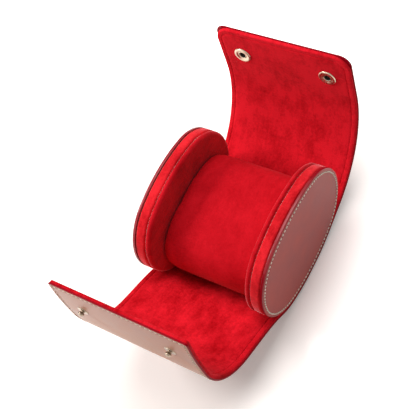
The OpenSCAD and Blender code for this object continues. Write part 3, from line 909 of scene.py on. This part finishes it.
def capStitches(name, side):
    # pale thread round the outer face, with painted shade after each stitch: a near-black stub sunk into each
    # needle hole
    n = int(perimeter * cap["sewnShare"] / cap["pitch"])
    centres, along, _ = sewnPlaces(n, cap["stitchIn"], side * (cap["inner"] + cap["outer"]))
    up = np.zeros_like(along) + side * xAxis
    holes = centres + along * (perimeter / n / 2) - up * cap["holeDepth"]
    dark = stitchPiece(f"{name}_holes", holes, along, up, holeShadeLook, stitch["hole"])
    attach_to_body(dark, "case")
    return stitchPiece(name, centres, along, up, creamThread, stitch["cap"], lean=side)


def seamStitches(name, side):
    # small red loops that close the joint between pad and band
    n = round(perimeter / cap["seamPitch"])
    centres, along, out = sewnPlaces(n, cap["seamIn"], side * (cap["inner"] + cap["seamAt"]))
    return stitchPiece(name, centres, along, out, redThread, stitch["joint"], lean=side)


for word, side in (("left", -1), ("right", 1)):
    pad = capPiece(f"{word}_cap_cushion", side, padProfile, suedeBody, firstFan=-cap["crown"], lastFan=0.0)
    band = capPiece(f"{word}_cap_side_band", side, bandProfile, suedeBand, closed=True)
    shell = capPiece(f"{word}_cap_cover", side, rimProfile, leatherCap, firstFan=0.0,
                     lastFan=cap["faceCrown"], rim=cap["rimSteps"])
    sewn = capStitches(f"{word}_cap_stitches", side)
    joint = seamStitches(f"{word}_cap_joint_stitches", side)
    for piece, node, slot in ((pad, "pad", "suede"), (band, "band", "suede"), (shell, "leather", "leather"),
                              (sewn, "thread", "thread")):
        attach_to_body(piece, "case")
        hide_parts(f"{word}_cap_{node}")
    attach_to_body(joint, "case")
print("end caps made")

pillow = {
    "half": 35.5 * mm,
    "length": 90 * mm,
    "height": 57 * mm,
    "lift": 0.7 * mm,  # above the lining, at the middle
    "draw": 1.6 * mm,  # how far the sewn ends are drawn in
    "power": 2.4,  # squareness of the oval
    "shrink": 1.0 * mm,  # cut smaller than its place, before it swells
    "swell": 1.6 * mm,  # most that a point may swell
    "sides": 100,
    "pressure": 4.0,
    "frames": 20,  # length of the cloth run
    "endGap": 0.15 * mm,
    "floorGap": 0.4 * mm,
    "gathers": 34,  # cloth eased into the end seams
    "gatherDepth": 0.05 * mm,
    "gatherReach": 5.5 * mm,
}
pillowZ = wrap["floorZ"] + pillow["lift"] + pillow["height"] / 2


def pillowRing(x, inset):
    # rounded oval: each coordinate is a cosine or sine raised to two over the power
    a = np.arange(pillow["sides"]) * 2 * np.pi / pillow["sides"]
    e = 2 / pillow["power"]
    y = (pillow["length"] / 2 - inset) * np.sign(np.cos(a)) * np.abs(np.cos(a)) ** e
    z = (pillow["height"] / 2 - inset) * np.sign(np.sin(a)) * np.abs(np.sin(a)) ** e + pillowZ
    return np.stack([np.full_like(a, x), y, z], axis=-1)


def pillowShape():
    # stations along X, drawn in towards both ends by a power of eight, and end panels that close to
    # their middle
    shrink = pillow["shrink"]
    u = np.concatenate([[-1, -0.98, -0.95, -0.91], np.linspace(-0.86, 0.86, 25), [0.91, 0.95, 0.98, 1]])
    half = pillow["half"] - shrink / 3
    rings = [pillowRing(half * v, shrink + pillow["draw"] * abs(v) ** 8) for v in u]
    t = np.concatenate([[0.985], np.linspace(0.95, 0, 12)[:-1]])
    middle = np.array([0, 0, pillowZ])
    firstFan = [(rings[0] - middle) * np.array([1, k, k]) + middle for k in t[::-1]]
    lastFan = [(rings[-1] - middle) * np.array([1, k, k]) + middle for k in t]
    rings = np.array(firstFan + rings + lastFan)
    points = rings.reshape(-1, 3)
    n, c = rings.shape[:2]
    faces = gridQuads(n, c, 0, True).tolist()
    for x, ring in ((-half, 0), (half, n - 1)):
        points = np.concatenate([points, [[x, 0, pillowZ]]])
        faces += fanTriangles(ring, c, len(points) - 1).tolist()
    return points, faces


def meshPoints(mesh):
    # the mesh's vertices as an array
    co = np.zeros(len(mesh.vertices) * 3, np.float32)
    mesh.vertices.foreach_get("co", co)
    return co.reshape(-1, 3).astype(float)


def applied(obj):
    # the object's mesh with its modifiers worked in
    bpy.context.view_layer.update()
    made = bpy.data.meshes.new_from_object(obj.evaluated_get(bpy.context.evaluated_depsgraph_get()))
    old = obj.data
    obj.modifiers.clear()
    obj.data = made
    bpy.data.meshes.remove(old)


def puff(obj):
    # blown up by cloth pressure, each point held within the most that it may swell
    rest = meshPoints(obj.data)
    cloth = obj.modifiers.new("cloth", "CLOTH")
    cloth.settings.use_pressure = True
    cloth.settings.uniform_pressure_force = pillow["pressure"]
    cloth.settings.effector_weights.gravity = 0.0
    cloth.settings.quality = 5
    for step in range(1, pillow["frames"] + 1):
        bpy.context.scene.frame_set(step)
    applied(obj)
    bpy.context.scene.frame_set(1)
    moved = meshPoints(obj.data) - rest
    size = np.linalg.norm(moved, axis=1, keepdims=True)
    moved = moved * np.minimum(1, pillow["swell"] / np.maximum(size, 1e-9))
    return rest + moved


def keepClear(points):
    # held inside the caps, and above the lining's own curve
    limit = pillow["half"] - pillow["endGap"]
    points[:, 0] = np.clip(points[:, 0], -limit, limit)
    under = wrap["floorZ"] + points[:, 1] ** 2 / (2 * sideRadius) + pillow["floorGap"]
    points[:, 2] = np.maximum(points[:, 2], under)
    return points


def gathered(points):
    # small sines round the pillow, pushed out from its middle line and fading away from the end seams
    angle = np.arctan2((points[:, 2] - pillowZ) / pillow["height"], points[:, 1] / pillow["length"])
    nearEnd = np.exp(-((pillow["half"] - np.abs(points[:, 0])) / pillow["gatherReach"]))
    away = points - np.stack([points[:, 0], np.zeros(len(points)), np.full(len(points), pillowZ)], axis=-1)
    away = away / np.maximum(np.linalg.norm(away, axis=1, keepdims=True), 1e-6)
    wave = np.sin(angle * pillow["gathers"] + 1.3 * np.sin(angle * 5))
    return points + away * (wave * pillow["gatherDepth"] * nearEnd)[:, None]


def setPoints(mesh, points):
    # the mesh's vertices moved to new places
    mesh.vertices.foreach_set("co", points.astype(np.float32).ravel())


body = addPiece("pillow_cushion", *pillowShape(), suedePillow, sharp=180)
swollen = keepClear(puff(body))
setPoints(body.data, swollen)
finer = body.modifiers.new("finer", "SUBSURF")
finer.levels = finer.render_levels = 1
applied(body)
setPoints(body.data, gathered(meshPoints(body.data)))
body.data.shade_smooth()
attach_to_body(body, "pillow")
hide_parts("pillow_cover", "pillow_foam", "pillow_left_panel", "pillow_right_panel")
print("pillow made")

# Turned profiles as (radius, height) in mm; one that meets the axis starts and ends on it
turned = {
    "stud": [(0, -0.3), (3.7, -0.3), (3.95, -0.12), (4.0, 0.1), (3.85, 0.32), (3.5, 0.45), (2.9, 0.46),
             (2.4, 0.56), (1.75, 0.62), (1.45, 0.78), (1.38, 1.15), (1.45, 1.45), (1.75, 1.78), (1.94, 2.15),
             (2.0, 2.5), (1.9, 2.9), (1.62, 3.3), (1.18, 3.6), (0.6, 3.76), (0, 3.8)],
    "socket": [(2.6, -1.9), (3.1, -1.9), (3.25, -0.3), (6.0, -0.15), (6.2, 0.05), (6.25, 0.35), (6.12, 0.74),
               (5.8, 1.02), (5.3, 1.15), (4.7, 1.12), (4.2, 0.98), (3.7, 0.72), (3.3, 0.55), (3.05, 0.56),
               (2.9, 0.64), (2.75, 0.62), (2.64, 0.5), (2.6, 0.25)],
    # a dark cup in each socket's bore, which paints the shade of the hole
    "cup": [(2.58, 0.25), (2.62, -1.99), (0.02, -1.99), (0.02, -1.90), (2.42, -1.90), (2.42, 0.2)],
    "button": [(0, 0.1), (5.9, 0.1), (6.15, 0.2), (6.25, 0.42), (6.15, 0.62), (5.8, 0.78), (5.4, 0.8),
               (5.2, 0.74), (5.0, 0.8), (4.2, 1.06), (3.2, 1.26), (2.1, 1.36), (1.0, 1.4), (0, 1.4)],
}
sheetDepth = wrap["lining"] + wrap["leather"]


def seatAt(s):
    # middle of the wrap's inner face at s, with the directions along it and up from it
    y, z, h = (float(v[0]) for v in wrapAt(np.array([s])))
    run = np.array([0, math.cos(h), math.sin(h)])
    up = np.array([0, -math.sin(h), math.cos(h)])
    return np.array([0, y, z]), run, up


def joined(name, parts, material, sharp):
    # several sets of points and faces as one piece
    points, faces = [], []
    start = 0
    for partPoints, partFaces in parts:
        points.append(partPoints)
        faces += [[v + start for v in f] for f in partFaces]
        start += len(partPoints)
    return addPiece(name, np.concatenate(points), faces, material, sharp=sharp)


def turnedPair(name, profile, s, depth, outward, material, closed=False):
    # the profile turned about its axis, which stands on the sheet at (x, s), on both sides
    n = snap["sides"]
    a = np.arange(n) * 2 * np.pi / n
    seat, run, normal = seatAt(s)
    up = normal * outward
    disc = np.cos(a)[:, None] * xAxis + np.sin(a)[:, None] * run
    profile = np.array(profile) * mm
    onAxis = profile[:, 0] < 1e-9
    rings = profile[~onAxis]
    parts = []
    for x in (-snap["x"], snap["x"]):
        foot = seat + x * xAxis - normal * depth
        points = foot + rings[:, 0][:, None, None] * disc[None] + rings[:, 1][:, None, None] * up
        points = points.reshape(-1, 3)
        faces = gridQuads(len(rings), n, 0, True).tolist()
        if closed:
            faces += loopQuads(len(rings), n).tolist()
        else:
            for tip, ring in zip(profile[onAxis], (0, len(rings) - 1)):
                points = np.concatenate([points, [foot + tip[1] * up]])
                faces += fanTriangles(ring, n, len(points) - 1).tolist()
        parts.append((points, faces))
    return joined(name, parts, material, 50)


def socketSprings(name):
    # the two wires inside each socket that grip a stud, bowed out as t squared towards their ends
    sides = 6
    seat, run, up = seatAt(socketS)
    t = np.linspace(-1, 1, 15)
    a = np.arange(sides) * 2 * np.pi / sides
    ring = np.cos(a)[:, None] * xAxis + np.sin(a)[:, None] * up
    parts = []
    for x in (-snap["x"], snap["x"]):
        for m in (-1, 1):
            centre = seat + x * xAxis - up * snap["socketSunk"]
            bow = (m * (snap["springOut"] + snap["springBow"] * t**2))[:, None]
            wire = centre + t[:, None] * snap["springRun"] * run + bow * xAxis
            points = (wire[:, None, :] + snap["springWire"] * ring[None]).reshape(-1, 3)
            faces = gridQuads(len(t), sides, 0, True).tolist()
            faces.append(list(range(sides)))
            faces.append(list(range((len(t) - 1) * sides, len(t) * sides)))
            parts.append((points, faces))
    return joined(name, parts, goldMetal, 60)


studs = turnedPair("ball_studs", turned["stud"], studS, sheetDepth, -1, studMetal)
sockets = turnedPair("ring_sockets", turned["socket"], socketS, snap["socketSunk"], 1, goldMetal, closed=True)
buttons = turnedPair("domed_buttons", turned["button"], socketS, sheetDepth, -1, goldMetal)
for piece, flap, node in ((studs, "front_flap", "snap_studs"), (sockets, "rear_flap", "snap_sockets"),
                          (buttons, "rear_flap", "snap_buttons")):
    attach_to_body(piece, flap)
    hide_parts(node)
springs = socketSprings("socket_springs")
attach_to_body(springs, "rear_flap")
# near-black cups in the sockets' bores: painted shade for the depth of the holes
cups = turnedPair("socket_cups", turned["cup"], socketS, snap["socketSunk"], 1, shadeCupLook, closed=True)
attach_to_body(cups, "rear_flap")
print("snaps made")


def insideLook(name):
    # finish of a piece that stays as the frame made it
    if name.endswith("_board"):
        return cardLook
    return goldMetal if name == "stud_backs" else foamLook


for name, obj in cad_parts.items():
    if not obj.hide_render:
        obj.data.materials.clear()
        obj.data.materials.append(insideLook(name))

# Floor, sky, lamps and camera, fitted to the picture; places and sizes in metres
room = {
    "floorSize": 6.0,
    "floorZ": -0.05 * mm,
    "floorColour": (0.84, 0.80, 0.77),
    "seenFloor": (1.0, 0.93, 0.88),  # as the camera and reflections see it
    "seenLift": 0.15,  # painted light: an emission glow on the seen floor, weakest near the object and growing to full white away from it
    "fadeFrom": 0.72,  # distances at which it starts to grow and is full, after the scale and shift
    "fadeTo": 1.5,
    "fadeScale": (10.5, 6.2, 0.0),
    "fadeShift": (0.18, 0.20, 0.0),
    "sky": 0.26,
    "skyColour": (1, 0.99, 0.98),
    "aim": (0, 0, 0.03),
}
lamps = {
    "key": {"place": (-0.97, -0.20, 0.87), "size": 0.42, "power": 11.5},
    "top": {"place": (-0.22, 0.42, 1.30), "size": 1.0, "power": 11.5},
    "front": {"place": (-0.65, -1.20, 0.60), "size": 1.0, "power": 3.4},
}
view = {
    "place": (0.2588, -0.1916, 0.5783),
    "right": (0.8358, 0.4681, -0.2869),
    "forward": (-0.4524, 0.2914, -0.8428),
    "lens": 81.07,
    "sensor": 36,
    "shift": (0.0098, 0.0196),
    "clip": (0.01, 20),
}


def brightWhereSeen(tree, plain, bright):
    # the bright shader for rays from the camera and off or through gloss, the plain one for all others
    rays = tree.nodes.new("ShaderNodeLightPath")
    seen = rays.outputs["Is Camera Ray"]
    for kind in ("Is Glossy Ray", "Is Transmission Ray"):
        either = tree.nodes.new("ShaderNodeMath")
        either.operation = "MAXIMUM"
        tree.links.new(seen, either.inputs[0])
        tree.links.new(rays.outputs[kind], either.inputs[1])
        seen = either.outputs[0]
    chosen = tree.nodes.new("ShaderNodeMixShader")
    tree.links.new(seen, chosen.inputs[0])
    tree.links.new(plain, chosen.inputs[1])
    tree.links.new(bright, chosen.inputs[2])
    return chosen.outputs[0]


def floorLook():
    # a pale floor, which the camera and reflections see paler still, with a painted glow that is weakest near
    # the object and full white further out
    look = Look("pale_floor", "Object")
    look.set(Base_Color=room["floorColour"], Roughness=0.95, Specular_IOR_Level=0.1)
    seen = look.add("ShaderNodeBsdfDiffuse", Color=(*room["seenFloor"], 1.0))
    lift = look.add("ShaderNodeEmission")
    far = look.add("ShaderNodeVectorMath", operation="LENGTH")
    look.links.new(look.stretched(room["fadeScale"], room["fadeShift"]), far.inputs[0])
    glow = look.ramp(far.outputs["Value"], room["fadeFrom"], room["fadeTo"], room["seenLift"], 1.0)
    look.links.new(glow, lift.inputs["Strength"])
    lifted = look.add("ShaderNodeAddShader")
    look.links.new(seen.outputs[0], lifted.inputs[0])
    look.links.new(lift.outputs[0], lifted.inputs[1])
    surface = brightWhereSeen(look.mat.node_tree, look.shader.outputs[0], lifted.outputs[0])
    look.links.new(surface, look.nodes["Material Output"].inputs["Surface"])
    return look.mat


def makeFloor():
    # one square, just under the object
    corners = np.array([(-1, -1, 0), (1, -1, 0), (1, 1, 0), (-1, 1, 0)]) * room["floorSize"] / 2
    corners[:, 2] = room["floorZ"]
    mesh = bpy.data.meshes.new("floor")
    mesh.from_pydata(corners.tolist(), [], [(0, 1, 2, 3)])
    mesh.materials.append(floorLook())
    obj = bpy.data.objects.new("floor", mesh)
    bpy.context.scene.collection.objects.link(obj)
    return obj


def makeSky():
    # a dim sky for light, and a white one where it is seen
    world = bpy.data.worlds.new("studio")
    world.use_nodes = True
    tree = world.node_tree
    dim = tree.nodes["Background"]
    dim.inputs["Strength"].default_value = room["sky"]
    dim.inputs["Color"].default_value = (*room["skyColour"], 1)
    white = tree.nodes.new("ShaderNodeBackground")
    white.inputs["Color"].default_value = (1, 1, 1, 1)
    seen = brightWhereSeen(tree, dim.outputs[0], white.outputs[0])
    tree.links.new(seen, tree.nodes["World Output"].inputs["Surface"])
    bpy.context.scene.world = world


def areaLight(name, place, size, power):
    # a soft disk that looks at the object
    light = bpy.data.lights.new(name, "AREA")
    light.shape = "DISK"
    light.size = size
    light.energy = power
    obj = bpy.data.objects.new(name, light)
    obj.location = place
    obj.rotation_mode = "QUATERNION"
    obj.rotation_quaternion = (Vector(room["aim"]) - Vector(place)).to_track_quat("-Z", "Y")
    bpy.context.scene.collection.objects.link(obj)


def makeCamera():
    # placed by its two directions, made square to each other
    camera = bpy.data.cameras.new("camera")
    camera.lens = view["lens"]
    camera.sensor_width = view["sensor"]
    camera.shift_x, camera.shift_y = view["shift"]
    camera.clip_start, camera.clip_end = view["clip"]
    obj = bpy.data.objects.new("camera", camera)
    bpy.context.scene.collection.objects.link(obj)
    back = -Vector(view["forward"]).normalized()
    across = Vector(view["right"])
    across = (across - across.dot(back) * back).normalized()
    turn = Matrix((across, back.cross(across), back)).transposed().to_4x4()
    obj.matrix_world = Matrix.Translation(Vector(view["place"])) @ turn
    return obj


makeFloor()
makeSky()
for name, lamp in lamps.items():
    areaLight(name, **lamp)
bpy.context.scene.camera = makeCamera()
bpy.context.scene.view_settings.view_transform = "Standard"
print("room made")
